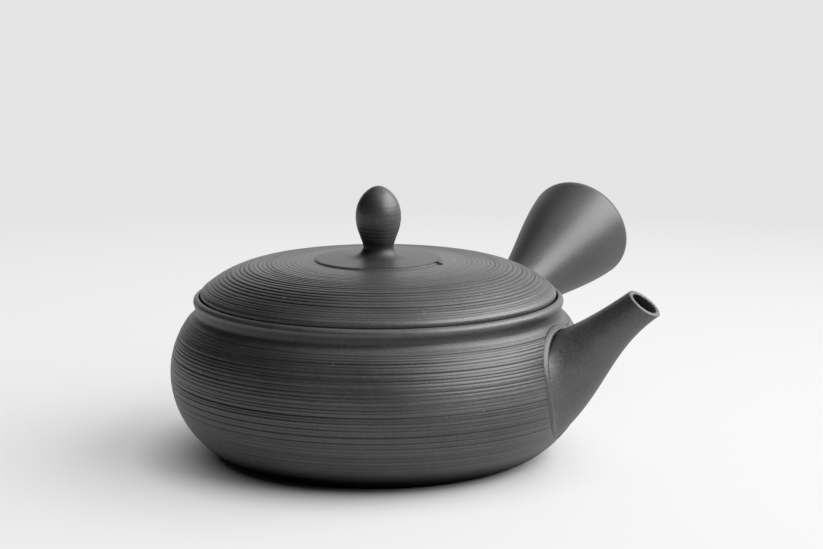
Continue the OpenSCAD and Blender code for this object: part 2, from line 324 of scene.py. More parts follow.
def belly_radius(z):
    """Outside radius of the belly at a height."""
    up = np.asarray(z, float) - BELLY_H
    under = UNDER_X + np.sqrt(np.maximum(UNDER_R ** 2 - up ** 2, 0))
    over = SHOULDER_X + np.sqrt(np.maximum(SHOULDER_R ** 2 - up ** 2, 0))
    return np.where(up < 0, under, over)


# Body: foot, belly, cove, rim, the lid's ledge and the bowl inside
BODY_SIDES = 320
BELLY_STEPS = 60
FOOT_EDGE_W = 4.0
FOOT_FLAT_W = 20.0
BOWL_FLOOR_R = 20.0
COVE_START = 250
BELLY_PASSES = 12
RIM_PASSES = 80
SEAM_PASSES = 4
BOWL_STEP = 0.4
BOWL_PASSES = 3
cove_join = math.degrees(math.asin((SHOULDER_H - BELLY_H) / SHOULDER_R))
foot_angle = -math.degrees(math.asin(BELLY_H / UNDER_R))
foot_r = UNDER_X + UNDER_R * math.cos(math.radians(foot_angle))
lip_h = COVE_H + math.sqrt(COVE_R ** 2 - (COVE_X - RIM_R) ** 2)
lip_angle = math.degrees(math.atan2(lip_h - COVE_H, RIM_R - COVE_X))
belly_line = joined(
    [[foot_r - FOOT_EDGE_W, 0]],
    arc(UNDER_X, BELLY_H, UNDER_R, foot_angle, 0, BELLY_STEPS),
    arc(SHOULDER_X, BELLY_H, SHOULDER_R, 0, cove_join, BELLY_STEPS),
)
rim_line = joined(
    belly_line[-1:],
    arc(COVE_X, COVE_H, COVE_R, COVE_START, lip_angle, steps=30),
    [[RIM_R, RIM_TOP - LIP_R]],
    arc(RIM_R - LIP_R, RIM_TOP - LIP_R, LIP_R, 0, 90, steps=10),
    [[SEAT_R + BEVEL, RIM_TOP]],
)
belly_line = softened(evenly(belly_line, FINE_STEP), BELLY_PASSES)
rim_line = softened(evenly(rim_line, FINE_STEP), RIM_PASSES)
inner_top = math.degrees(math.asin((NECK_END - BELLY_H) / (SHOULDER_R - WALL)))
inner_foot = -math.degrees(math.asin((BELLY_H - FLOOR_T) / (UNDER_R - WALL)))
bowl_line = joined(
    [[SEAT_R, RIM_TOP - BEVEL], [SEAT_R, SEAT_H], [THROAT_R, SEAT_H], [THROAT_R, NECK_END]],
    arc(SHOULDER_X, BELLY_H, SHOULDER_R - WALL, inner_top, 0, BELLY_STEPS),
    arc(UNDER_X, BELLY_H, UNDER_R - WALL, 0, inner_foot, BELLY_STEPS),
    [[BOWL_FLOOR_R, FLOOR_T]],
)
bowl_line = softened(evenly(bowl_line, BOWL_STEP), BOWL_PASSES)
body_outline = joined(
    [[0, 0], [foot_r - FOOT_FLAT_W, 0]],
    softened(joined(belly_line, rim_line), SEAM_PASSES),
    bowl_line,
    [[0, FLOOR_T]],
)

# Height, depth and width of the turned lines on the belly
BELLY_LINES = [
    (38.1, 0.24, 0.2), (37.5, 0.12, 0.18), (36.9, 0.16, 0.18), (36.1, 0.24, 0.2), (35.4, 0.14, 0.18),
    (34.6, 0.12, 0.18), (33.8, 0.26, 0.22), (33.0, 0.12, 0.18), (32.2, 0.24, 0.2), (31.3, 0.16, 0.18),
    (30.4, 0.15, 0.18), (29.1, 0.25, 0.22), (28.1, 0.13, 0.18), (27.2, 0.12, 0.18), (26.1, 0.14, 0.18),
    (25.0, 0.15, 0.18), (24.1, 0.12, 0.18), (22.9, 0.25, 0.22), (22.1, 0.13, 0.18), (21.3, 0.22, 0.2),
    (20.3, 0.12, 0.18), (19.4, 0.22, 0.2), (18.5, 0.12, 0.18), (17.6, 0.2, 0.2), (16.7, 0.1, 0.18),
    (15.8, 0.2, 0.2), (15.0, 0.1, 0.18), (14.2, 0.17, 0.18), (13.2, 0.14, 0.18), (12.2, 0.1, 0.18),
    (11.3, 0.15, 0.18), (10.3, 0.12, 0.18), (9.2, 0.1, 0.18), (8.1, 0.1, 0.18), (6.9, 0.08, 0.18),
]
# Heights between which the lines come in above the foot and go out below the cove
BELLY_LINES_IN = (5, 9)
BELLY_LINES_OUT = (38.3, 38.7)
BELLY_LINES_SEED = 5
BELLY_RIPPLE = 0.025
BELLY_RIPPLE_SEED = 3
BOWL_RIPPLE = 0.12
BOWL_RIPPLE_SEED = 8
# Half widths and heights of the clay that is smoothed around the roots
SPOUT_CLEAR_W = 15.5
SPOUT_CLEAR_H = 16.2
HANDLE_CLEAR_W = 9.5
HANDLE_CLEAR_H = 10
# Distances from a root, in its own sizes, between which the lines come back, and one that is far off
SPOUT_CLEAR = (0.94, 1.06)
HANDLE_CLEAR = (0.9, 1.3)
FAR_OFF = 2
# The belly's lines stay below the first height, and the bowl's rings above the second
LINES_TOP = SHOULDER_H + 0.5
RINGS_FOOT = FLOOR_T + 1
# The cove's painted shade, and heights between which it comes in above the belly and goes out below the
# rim
COVE_SHADE = 0.45
COVE_SHADE_IN = (SHOULDER_H + 0.3, COVE_H - 0.7)
COVE_SHADE_OUT = (COVE_H + 0.8, COVE_H + 2.2)


def clear_of_roots(points, angles):
    """1 on the open belly, falling to 0 at the smoothed clay around the spout's and handle's roots."""
    radius, height = points[:, :1], points[:, 1:]
    handle_turn = np.radians(HANDLE_ANGLE)
    spout_far = np.hypot(radius * np.sin(angles) / SPOUT_CLEAR_W, (height - SPOUT_H) / SPOUT_CLEAR_H)
    spout_far = np.where(np.cos(angles) > 0, spout_far, FAR_OFF)
    handle_side = radius * np.sin(angles - handle_turn)
    handle_far = np.hypot(handle_side / HANDLE_CLEAR_W, (height - HANDLE_H) / HANDLE_CLEAR_H)
    handle_far = np.where(np.cos(angles - handle_turn) > 0, handle_far, FAR_OFF)
    return smooth_step(spout_far, *SPOUT_CLEAR) * smooth_step(handle_far, *HANDLE_CLEAR)


def belly_relief(points, angles):
    """Turned lines on the outside of the belly, and softer throwing rings inside the bowl."""
    radius, height = points[:, 0], points[:, 1]
    wall_middle = belly_radius(np.clip(height, 0.0, COVE_H)) - WALL / 2
    outside = (radius > wall_middle) & (height < LINES_TOP)
    inside = (radius < wall_middle) & (height < NECK_END) & (height > RINGS_FOOT)
    zone = smooth_step(height, *BELLY_LINES_IN) * (1 - smooth_step(height, *BELLY_LINES_OUT)) * outside
    fine = BELLY_RIPPLE * ripple(height, angles, BELLY_RIPPLE_SEED, pitch=0.9, swing=0.5)
    lines = grooves(height, angles, BELLY_LINES, BELLY_LINES_SEED) + fine
    rings = BOWL_RIPPLE * inside[:, None] * ripple(height, angles, BOWL_RIPPLE_SEED, pitch=4, swing=0.8)
    return lines * zone[:, None] * clear_of_roots(points, angles) + rings


def cove_shade(points):
    """Painted shade in the cove under the rim, which gathers less light than the open clay."""
    radius, height = points[:, 0], points[:, 1]
    from_belly = smooth_step(height, *COVE_SHADE_IN)
    to_rim = 1 - smooth_step(height, *COVE_SHADE_OUT)
    return COVE_SHADE * from_belly * to_rim * (radius > SEAT_R)


# The drill for the pouring hole goes through the wall between these radii
POUR_FROM = 42
POUR_TO = 62
body = lathe("body", body_outline, BODY_SIDES, belly_relief, cove_shade)
body = drilled(body, rod(POUR_R, (POUR_FROM, 0, SPOUT_H), (POUR_TO, 0, SPOUT_H)))

# Lid: crown, rounded shoulder, edge, locating skirt and the hollow below
LID_SIDES = 320
# Outlines of the crown start this far from straight up
CROWN_START = 90 - 0.35
LID_PASSES = 10
HOLLOW_STEP = 0.35
HOLLOW_PASSES = 2
crown_end = 90 - math.degrees(CROWN_SLOPE)
lid_end = 90 - math.degrees(RIM_SLOPE)
lid_line = joined(
    arc(0, CROWN_H, CROWN_R, CROWN_START, crown_end, steps=50),
    arc(LID_SHOULDER_X, LID_SHOULDER_H, LID_SHOULDER_R, crown_end, lid_end, steps=50),
    arc(LID_R - LID_EDGE_R, BODY_H, LID_EDGE_R, lid_end, 0, steps=20),
    [[LID_R, SEAT_H + BEVEL], [LID_R - BEVEL, SEAT_H]],
)
lid_line = softened(evenly(lid_line, FINE_STEP), LID_PASSES)
skirt_in = SKIRT_R - SKIRT_T
under_end = 90 - math.degrees(math.asin((skirt_in - LID_SHOULDER_X) / (LID_SHOULDER_R - LID_T)))
hollow_line = joined(
    [[SKIRT_R, SEAT_H], [SKIRT_R, SKIRT_END], [skirt_in, SKIRT_END]],
    arc(LID_SHOULDER_X, LID_SHOULDER_H, LID_SHOULDER_R - LID_T, under_end, crown_end, steps=30),
    arc(0, CROWN_H, CROWN_R - LID_T, crown_end, CROWN_START, steps=30),
)
hollow_line = softened(evenly(hollow_line, HOLLOW_STEP), HOLLOW_PASSES)
lid_outline = joined([[0, LID_TOP]], lid_line, hollow_line, [[0, LID_TOP - LID_T]])[::-1]

# Radius, depth and width of the turned lines on the lid
LID_LINES = [
    (19.2, 0.05, 0.18), (20.4, 0.06, 0.18), (21.8, 0.08, 0.2), (23.2, 0.1, 0.2), (24.6, 0.13, 0.2),
    (26.0, 0.16, 0.22), (27.3, 0.18, 0.22), (28.6, 0.2, 0.22), (29.9, 0.22, 0.22), (31.1, 0.25, 0.23),
    (32.4, 0.26, 0.23), (33.6, 0.27, 0.23), (34.8, 0.28, 0.24), (36.1, 0.3, 0.25), (37.4, 0.3, 0.25),
    (38.7, 0.3, 0.25), (40.0, 0.3, 0.25), (41.2, 0.3, 0.25), (42.4, 0.3, 0.24), (43.5, 0.28, 0.23),
    (44.6, 0.26, 0.22), (45.6, 0.24, 0.2), (46.4, 0.2, 0.18), (47.1, 0.18, 0.18), (47.8, 0.2, 0.18),
    (48.3, 0.1, 0.15),
]
# Radii between which the lines come in beside the pad and go out at the edge
LID_LINES_IN = (PAD_R + 0.4, PAD_R + 1.4)
LID_LINES_OUT = (48.4, 48.7)
LID_LINES_SEED = 13
LID_RIPPLE = 0.02
LID_RIPPLE_SEED = 11
# Points less than this below the lid's shoulder arc, and more than this above its seat, belong to its top
TOP_MARGIN = 1
# The drill for the steam hole reaches this far over the pad
DRILL_OVER = 2


def lid_relief(points, angles):
    """Turned lines on top of the lid between the pad and the smooth edge."""
    radius, height = points[:, 0], points[:, 1]
    shoulder_up = np.sqrt(np.maximum(LID_SHOULDER_R ** 2 - (radius - LID_SHOULDER_X) ** 2, 0))
    on_top = (height > LID_SHOULDER_H + shoulder_up - TOP_MARGIN) & (height > SEAT_H + TOP_MARGIN)
    zone = smooth_step(radius, *LID_LINES_IN) * (1 - smooth_step(radius, *LID_LINES_OUT)) * on_top
    fine = LID_RIPPLE * ripple(radius, angles, LID_RIPPLE_SEED, pitch=0.8, swing=0.5)
    return (grooves(radius, angles, LID_LINES, LID_LINES_SEED) + fine) * zone[:, None]


def vent_drill():
    """The steam hole at the pad's edge, through pad and lid."""
    return rod(VENT_R, (PAD_R, 0, SEAT_H), (PAD_R, 0, PAD_TOP + DRILL_OVER))


lid = drilled(lathe("lid", lid_outline, LID_SIDES, lid_relief), vent_drill())

# Knob: raised pad, waisted stem and bud
KNOB_SIDES = 160
PAD_EDGE_W = 0.9
STEM_R = 4.25
STEM_FOOT_R = 8.5
BUD_R = 6.3
STEM_SHARE = 0.15
WIDEST_SHARE = 0.565
STEM_H = STEM_SHARE * KNOB_H
BUD_H = WIDEST_SHARE * KNOB_H
# Powers that shape the bud's tip and the swelling below it
TIP_FULLNESS = 2.1
TIP_BLUNTNESS = 0.6
SWELL_FULLNESS = 0.72
KNOB_STEPS = 40
KNOB_PASSES = 5
# The pad's underside lies this far above the lid, and the arc of its outline ends at this angle
PAD_LIFT = 0.02
PAD_END = 90 - 0.2
shares = np.linspace(0, 1, KNOB_STEPS)
quarter = shares * math.pi / 2
tip_r = BUD_R * (1 - shares ** TIP_FULLNESS) ** TIP_BLUNTNESS
tip = np.stack([tip_r, PAD_TOP + BUD_H + (KNOB_H - BUD_H) * shares], -1)
widening = (1 - np.cos(math.pi * shares ** SWELL_FULLNESS)) / 2
swell_r = STEM_R + (BUD_R - STEM_R) * widening
swell = np.stack([swell_r, PAD_TOP + STEM_H + (BUD_H - STEM_H) * shares], -1)
stem_foot_h = CROWN_H + math.sqrt((CROWN_R + PAD_T) ** 2 - STEM_FOOT_R ** 2)
fillet_r = STEM_R + (STEM_FOOT_R - STEM_R) * (1 - np.sin(quarter))
fillet_h = stem_foot_h + (PAD_TOP + STEM_H - stem_foot_h) * (1 - np.cos(quarter))
fillet = np.stack([fillet_r, fillet_h], -1)
pad_angle = 90 - math.degrees(math.asin(PAD_R / CROWN_R))
stem_angle = 90 - math.degrees(math.asin(STEM_FOOT_R / CROWN_R))
pad_under = CROWN_H + math.sqrt(CROWN_R ** 2 - PAD_R ** 2)
knob_line = joined(
    tip[::-1],
    swell[::-1],
    fillet[::-1],
    arc(0, CROWN_H, CROWN_R + PAD_T, stem_angle, pad_angle, steps=20)[:-1],
    np.stack([PAD_R - PAD_EDGE_W * (1 - np.sin(quarter)), pad_under + PAD_T * np.cos(quarter)], -1),
)
knob_line = softened(evenly(knob_line, FINE_STEP), KNOB_PASSES)
seat_line = arc(0, CROWN_H + PAD_LIFT, CROWN_R, pad_angle, PAD_END, steps=12)
knob_outline = joined(knob_line, seat_line, [[0, LID_TOP + PAD_LIFT]])[::-1]

# Height, depth and width of the rings on the bud
KNOB_LINES = [
    (58.6, 0.06, 0.15), (59.6, 0.08, 0.15), (60.7, 0.13, 0.15), (61.8, 0.15, 0.18), (62.9, 0.07, 0.15),
    (64.3, 0.06, 0.15), (65.4, 0.04, 0.15), (66.9, 0.05, 0.15), (69.0, 0.03, 0.15),
]
KNOB_LINES_SEED = 17
KNOB_RIPPLE = 0.02
KNOB_RIPPLE_SEED = 19
# Heights between which the rings come in above the pad
KNOB_LINES_IN = (PAD_TOP + 2, PAD_TOP + 4)
# The stem's painted shade, and heights between which it comes in above the pad and goes out below the bud
STEM_SHADE = 0.5
STEM_SHADE_IN = (PAD_TOP + 0.5, PAD_TOP + STEM_H - 0.5)
STEM_SHADE_OUT = (PAD_TOP + STEM_H, PAD_TOP + STEM_H + 3)


def knob_relief(points, angles):
    """Faint rings from finishing the bud on the wheel."""
    height = points[:, 1]
    zone = smooth_step(height, *KNOB_LINES_IN)
    fine = KNOB_RIPPLE * ripple(height, angles, KNOB_RIPPLE_SEED, pitch=0.9, swing=0.4)
    return (grooves(height, angles, KNOB_LINES, KNOB_LINES_SEED) + fine) * zone[:, None]


def stem_shade(points):
    """Painted shade on the waist between pad and bud, which gathers less light than the bud."""
    height = points[:, 1]
    from_pad = smooth_step(height, *STEM_SHADE_IN)
    return STEM_SHADE * from_pad * (1 - smooth_step(height, *STEM_SHADE_OUT))


knob = drilled(lathe("knob", knob_outline, KNOB_SIDES, knob_relief, stem_shade), vent_drill())

# Spout: a bent trumpet whose rings start on the belly and end at the slanted mouth
LOFT_SIDES = 128
SPOUT_STEPS = 70
LIP_STEPS = 9
# The lip's round edge stands this far out of the mouth
LIP_BULGE = MOUTH_WALL / 4
# The painted shade of the crease reaches this share up the spout
CREASE_END = 0.015
CREASE_STEPS = 8
loft_angles = np.linspace(0, TURN, LOFT_SIDES, endpoint=False)


def bend(start, lean, end, t):
    """A curve from start to end that leans towards a point between them."""
    return start * (1 - t) ** 2 + 2 * lean * t * (1 - t) + end * t * t


def narrowed(root, t):
    """Half a width of the spout that narrows from its root to the mouth."""
    return MOUTH_R + (root - MOUTH_R) * (1 - t) ** SPOUT_FLARE


def root_half_w(angle):
    """Half the width of the egg-shaped root, wider above than below."""
    return ROOT_HALF_W * (1 + ROOT_EGG * np.sin(angle))


def root_ring(inset, sunk):
    """Ring on the belly, drawn in by inset from the spout's outside and sunk into the wall."""
    y = (root_half_w(loft_angles) - inset) * np.cos(loft_angles)
    z = SPOUT_H + (SPOUT_ROOT_R - inset) * np.sin(loft_angles)
    x = np.sqrt((belly_radius(z) - sunk) ** 2 - y ** 2)
    return np.stack([x, y, z], -1)


def spout_ring(t, inset):
    """Ring a share t along the spout, on its outside or, where inset is 1, on its bore."""
    thick = inset * (MOUTH_WALL + (ROOT_WALL - MOUTH_WALL) * (1 - t))
    high = narrowed(SPOUT_ROOT_R, t) - thick
    wide = narrowed(root_half_w(loft_angles), t) - thick
    to_belly = root_ring(inset * ROOT_WALL, SUNK)[:, 0] - SPOUT_ROOT_X
    tilt = MOUTH_TILT * t ** TILT_EASE * (1 + TILT_EASE - t) / TILT_EASE
    x = bend(SPOUT_ROOT_X, SPOUT_LEAN_X, MOUTH_X, t) + to_belly * (1 - t) ** ROOT_LEAVE
    z = bend(SPOUT_H, SPOUT_CLIMB_H, MOUTH_H, t)
    return np.stack(
        [
            x - high * np.sin(loft_angles) * math.sin(tilt),
            wide * np.cos(loft_angles),
            z + high * np.sin(loft_angles) * math.cos(tilt),
        ],
        -1,
    )


spout_steps = np.concatenate(
    [np.linspace(0, CREASE_END, CREASE_STEPS)[:-1], np.linspace(CREASE_END, 1, SPOUT_STEPS)]
)
mouth_face = np.array([math.cos(MOUTH_TILT), 0, math.sin(MOUTH_TILT)])
lip_rings = [
    spout_ring(1.0, 0.5 - 0.5 * math.cos(turn)) + LIP_BULGE * math.sin(turn) * mouth_face
    for turn in np.linspace(0, math.pi, LIP_STEPS)[1:-1]
]
outside_rings = [spout_ring(step, 0) for step in spout_steps]
bore_rings = [spout_ring(step, 1) for step in spout_steps[::-1]]
unshaded = np.zeros(len(lip_rings + bore_rings))
# Painted shade in the crease at the spout's root, none on the lip and bore
spout_shade = np.concatenate([1 - smooth_step(spout_steps, 0, CREASE_END), unshaded])
spout = skin("spout", outside_rings + lip_rings + bore_rings, spout_shade)

# Slip: rings across a band, its fullness, and the share of its width that gets the crease's painted shade
SLIP_RINGS = 17
SLIP_FULLNESS = 0.8
SLIP_SHADE_END = 0.12
# How far round a ring points down where the slip starts to be wiped off, and where it is fully so
WIPE_START = 0.5
WIPE_END = 0.95


def belly_normal(points):
    """Directions that point straight out of the belly."""
    up = points[:, 2] - BELLY_H
    bow = np.where(up < 0, UNDER_R, SHOULDER_R)
    out = np.sqrt(bow ** 2 - up ** 2) / np.hypot(points[:, 0], points[:, 1])
    return np.stack([out * points[:, 0], out * points[:, 1], up], -1) / bow[:, None]


def slip_band(name, foot_ring):
    """A band of slip, steep at the crease beside the luted piece and wiped out thinly onto the belly."""
    rings = []
    across_shares = np.linspace(1, 0, SLIP_RINGS)
    left_over = 1 - UNDER_WIPE * smooth_step(-np.sin(loft_angles), WIPE_START, WIPE_END)
    for across in across_shares:
        foot = foot_ring((CREASE + SLIP_SPREAD * across) * left_over)
        swell_up = math.sin(math.pi * math.sqrt(across)) ** SLIP_FULLNESS
        height = (SLIP_T * left_over + SUNK) * swell_up - SUNK
        rings.append(foot + height[:, None] * belly_normal(foot))
    # Painted shade along the slip's edge in the crease
    return skin(name, rings, 1 - smooth_step(across_shares, 0, SLIP_SHADE_END))


spout_slip = slip_band("spout_slip", lambda grow: root_ring(-grow, 0))

# Handle: a hollow flared tube whose end turns in to a round opening
HANDLE_STEPS = 70
HOLLOW_STEPS = 40
ROUND_STEPS = 16
ROLL_STEPS = 11
# The handle's end is this much thicker than its wall
END_EXTRA = 1
# The search for the handle's seam on the belly: its range along the handle, and how often that is halved
SEAM_FROM = -12.0
SEAM_TO = 20.0
SEAM_HALVINGS = 40
UP = np.array([0, 0, 1])
turn_z, tilt_z = math.radians(HANDLE_ANGLE), math.radians(HANDLE_TILT)
outward = np.array([math.cos(turn_z), math.sin(turn_z), 0])
sideways = np.array([-math.sin(turn_z), math.cos(turn_z), 0])
handle_axis = math.cos(tilt_z) * outward + math.sin(tilt_z) * UP
handle_up = -math.sin(tilt_z) * outward + math.cos(tilt_z) * UP
handle_foot = HANDLE_X * outward + HANDLE_H * UP


def handle_radius(along):
    """Outside radius of the handle at a length along its axis."""
    return HANDLE_ROOT_R + HANDLE_FLARE * smooth_step(along / HANDLE_END, FLARE_START, FLARE_END)


def handle_ring(along, radius):
    """Points around the handle's axis, at lengths along it and radii from it."""
    along = np.broadcast_to(along, loft_angles.shape)[:, None]
    radius = np.broadcast_to(radius, loft_angles.shape)[:, None]
    round_it = np.cos(loft_angles)[:, None] * sideways + np.sin(loft_angles)[:, None] * handle_up
    return handle_foot + along * handle_axis + radius * round_it


def handle_seam(grow, sunk):
    """Lengths along the handle at which its lines, moved out by grow, come out of the belly."""
    low, high = np.full(LOFT_SIDES, SEAM_FROM), np.full(LOFT_SIDES, SEAM_TO)
    for _ in range(SEAM_HALVINGS):
        middle = (low + high) / 2
        points = handle_ring(middle, handle_radius(middle) + grow)
        out = np.hypot(points[:, 0], points[:, 1]) > belly_radius(points[:, 2]) - sunk
        low, high = np.where(out, low, middle), np.where(out, middle, high)
    return (low + high) / 2


root_seam = handle_seam(0, SUNK)
hollow_seam = handle_seam(-HANDLE_WALL, SUNK)
round_start = HANDLE_END - HANDLE_ROUND
turn_in = round_start - HANDLE_ROUND * math.sin(FLARE_ANGLE)
turn_r = handle_radius(turn_in) - HANDLE_ROUND * math.cos(FLARE_ANGLE)
lip_half = HANDLE_WALL / 2
hollow_end = HANDLE_END - HANDLE_WALL - END_EXTRA
handle_rings = []
for step in np.linspace(0, 1, HANDLE_STEPS):
    along = root_seam + (turn_in - root_seam) * step
    handle_rings.append(handle_ring(along, handle_radius(along)))
for turn in np.linspace(-FLARE_ANGLE, math.pi / 2, ROUND_STEPS)[1:]:
    along = round_start + HANDLE_ROUND * math.sin(turn)
    handle_rings.append(handle_ring(along, turn_r + HANDLE_ROUND * math.cos(turn)))
for turn in np.radians(np.linspace(90, -90, ROLL_STEPS)):
    along = HANDLE_END - lip_half + lip_half * math.sin(turn)
    handle_rings.append(handle_ring(along, HANDLE_OPEN_R + lip_half - lip_half * math.cos(turn)))
for step in np.linspace(1, 0, HOLLOW_STEPS):
    along = hollow_seam + (hollow_end - hollow_seam) * step
    handle_rings.append(handle_ring(along, handle_radius(along) - HANDLE_WALL))
handle = skin("handle", handle_rings)


def handle_slip_foot(grow):
    """Ring on the belly around the handle's root, moved out by grow."""
    along = handle_seam(grow, 0)
    return handle_ring(along, handle_radius(along) + grow)


handle_slip = slip_band("handle_slip", handle_slip_foot)


def link(tree, start, end):
    """Joins two sockets of a node tree."""
    tree.links.new(start, end)


def feed(tree, socket, value):
    """Links a socket to a socket, or sets it to a plain value."""
    if isinstance(value, bpy.types.NodeSocket):
        link(tree, value, socket)
    else:
        socket.default_value = value


def node(tree, kind, **settings):
    """A shader node with some of its properties and sockets set."""
    made = tree.nodes.new(kind)
    for key, value in settings.items():
        if key in made.inputs:
            feed(tree, made.inputs[key], value)
        else:
            setattr(made, key, value)
    return made


def reckoned(tree, operation, *values):
    """The result of a sum or other operation on sockets and plain numbers."""
    made = node(tree, "ShaderNodeMath", operation=operation)
    for socket, value in zip(made.inputs, values):
        feed(tree, socket, value)
    return made.outputs[0]


def mapped(tree, value, start=0.0, end=1.0, low=0.0, high=1.0, curve="LINEAR"):
    """A value brought from the range start to end into the range low to high."""
    made = node(
        tree, "ShaderNodeMapRange", interpolation_type=curve,
        **{"Value": value, "From Min": start, "From Max": end, "To Min": low, "To Max": high},
    )
    return made.outputs["Result"]


def noise(tree, place, scale, detail, roughness):
    """The value of a noise at a place."""
    made = node(tree, "ShaderNodeTexNoise", Vector=place, Scale=scale, Detail=detail, Roughness=roughness)
    return made.outputs["Fac"]


def grey(value):
    """A grey colour."""
    return (value, value, value, 1)


def blended(tree, share, first, second, blend_type="MIX"):
    """A share of the second colour on the first."""
    made = node(tree, "ShaderNodeMix", data_type="RGBA", blend_type=blend_type)
    for index, value in ((0, share), (6, first), (7, second)):
        feed(tree, made.inputs[index], value)
    return made.outputs[2]


# Shares of painted shade in a turned line and in a crevice, the height that the foot's painted shade
# reaches, and how far around it a crevice is looked for
PAINTED_CUT_SHADE = 0.85
PAINTED_CREVICE_SHADE = 0.9
PAINTED_FOOT_SHADE_H = 7.0
CREVICE_REACH = 7.0
# Shares of open sky at which a crevice's painted shade is darkest, and at which a place counts as open
CREVICE_FULL = 0.3
CREVICE_OPEN = 0.97
# Grain of the clay, as waves in a metre, and the range to which it is spread before streaks are added
SPECKLE_SCALE = 1400.0
CLOUD_SCALE = 45.0
STREAK_SCALE = 1700.0
SPECK_SCALE = 170.0
GRAIN_LOW = 0.1
GRAIN_HIGH = 0.9
# Distances from a cell's middle at which a pale speck starts and is full, and the chance value from which
# a cell has one
SPECK_EDGE = 0.065
SPECK_FULL = 0.045
SPECK_CHOSEN = 0.72
# Pointiness from which an edge is worn, and to which it is fully so
WORN_START = 0.52
WORN_END = 0.62
WORN_SHARE = 0.35
# Colours as multiples of the clay's tone
DARK_GRAIN = 0.6
DARK_GRAIN_BLUE = 0.61
PALE_GRAIN = 1.4
WORN_TONE = 2.2
SPECK_TONE = 4
ROUGH_SWING = 0.09
BUMP_STRENGTH = 0.6


def clay_material(name, tone, shine_level, roughness, grain, turned):
    """Unglazed stoneware: fine grain, faint streaks along the turning, pale specks and worn edges, with
    painted shade in turned lines, hollows, crevices and near the foot that darkens its colour and shine.
    """
    material = bpy.data.materials.new(name)
    material.use_nodes = True
    tree = material.node_tree
    shader = tree.nodes["Principled BSDF"]
    place = node(tree, "ShaderNodeTexCoord").outputs["Object"]
    apart = node(tree, "ShaderNodeSeparateXYZ", Vector=place).outputs
    flat = node(tree, "ShaderNodeCombineXYZ", X=apart["X"], Y=apart["Y"])
    radius = node(tree, "ShaderNodeVectorMath", operation="LENGTH")
    link(tree, flat.outputs[0], radius.inputs[0])
    wheel = node(tree, "ShaderNodeCombineXYZ", X=radius.outputs["Value"], Y=apart["Z"]).outputs[0]

    speckle = noise(tree, place, SPECKLE_SCALE, detail=4.0, roughness=0.65)
    cloud = noise(tree, place, CLOUD_SCALE, detail=3.0, roughness=0.6)
    streak = noise(tree, wheel, STREAK_SCALE, detail=2.0, roughness=0.5)
    half_cloud = reckoned(tree, "MULTIPLY", cloud, 0.5)
    even = reckoned(tree, "MULTIPLY_ADD", speckle, 0.5, half_cloud)
    spread = mapped(tree, even, low=GRAIN_LOW - turned / 2, high=GRAIN_HIGH - turned / 2)
    mixed = reckoned(tree, "MULTIPLY_ADD", streak, turned, spread)
    ramp = node(tree, "ShaderNodeValToRGB", Fac=mixed)
    dark, light = ramp.color_ramp.elements
    dark.position = 0.4
    dark.color = (DARK_GRAIN * tone, DARK_GRAIN * tone, DARK_GRAIN_BLUE * tone, 1)
    light.position = 0.6
    light.color = grey(PALE_GRAIN * tone)

    cells = node(tree, "ShaderNodeTexVoronoi", Vector=place, Scale=SPECK_SCALE, Randomness=1.0)
    speck = mapped(tree, cells.outputs["Distance"], SPECK_EDGE, SPECK_FULL)
    chosen = reckoned(tree, "GREATER_THAN", cells.outputs["Color"], SPECK_CHOSEN)
    pale = reckoned(tree, "MULTIPLY", speck, chosen)
    pointed = node(tree, "ShaderNodeNewGeometry").outputs["Pointiness"]
    worn = mapped(tree, pointed, WORN_START, WORN_END, high=WORN_SHARE)
    clay = blended(tree, worn, ramp.outputs["Color"], grey(WORN_TONE * tone))
    clay = blended(tree, pale, clay, grey(SPECK_TONE * tone))

    # Painted shade from the cut attribute: turned lines, the cove, the stem and creases get a darker
    # colour and less shine
    cut = node(tree, "ShaderNodeAttribute", attribute_name="cut").outputs["Fac"]
    clear_of_painted_cut_shade = mapped(tree, cut, low=1.0, high=1 - PAINTED_CUT_SHADE)
    # Painted shade near the foot: colour and shine darker towards the bottom
    clear_of_painted_foot_shade = mapped(tree, apart["Z"], end=PAINTED_FOOT_SHADE_H * MM, curve="SMOOTHSTEP")
    # Painted shade in crevices, from how much open sky a place has within reach
    sky = node(tree, "ShaderNodeAmbientOcclusion", Distance=CREVICE_REACH * MM).outputs["AO"]
    clear_of_painted_crevice_shade = mapped(tree, sky, CREVICE_FULL, CREVICE_OPEN, low=1 - PAINTED_CREVICE_SHADE)
    # The share of colour and shine left after all painted shade
    left_after_painted_shade = reckoned(tree, "MULTIPLY", clear_of_painted_cut_shade, reckoned(tree, "MULTIPLY", clear_of_painted_crevice_shade, clear_of_painted_foot_shade))
    link(tree, blended(tree, 1.0, clay, left_after_painted_shade, "MULTIPLY"), shader.inputs["Base Color"])
    shader.inputs["Specular IOR Level"].default_value = shine_level
    link(tree, reckoned(tree, "MULTIPLY", left_after_painted_shade, shine_level), shader.inputs["Specular IOR Level"])

    rough = mapped(tree, mixed, low=roughness - ROUGH_SWING, high=roughness + ROUGH_SWING)
    link(tree, rough, shader.inputs["Roughness"])
    bump = node(tree, "ShaderNodeBump", Strength=BUMP_STRENGTH, Distance=grain * MM, Height=mixed)
    link(tree, bump.outputs["Normal"], shader.inputs["Normal"])
    return material


turned_clay = clay_material(
    "turned_clay", tone=0.055, shine_level=1.0, roughness=0.4, grain=0.3, turned=0.4
)
# A darker copy of the clay for handle, knob and strainer, with a smoother finish: its lower tone is
# painted shade
smoothed_clay_with_painted_shade = clay_material(
    "smoothed_clay_with_painted_shade", tone=0.03, shine_level=0.95, roughness=0.43, grain=0.25, turned=0.15
)
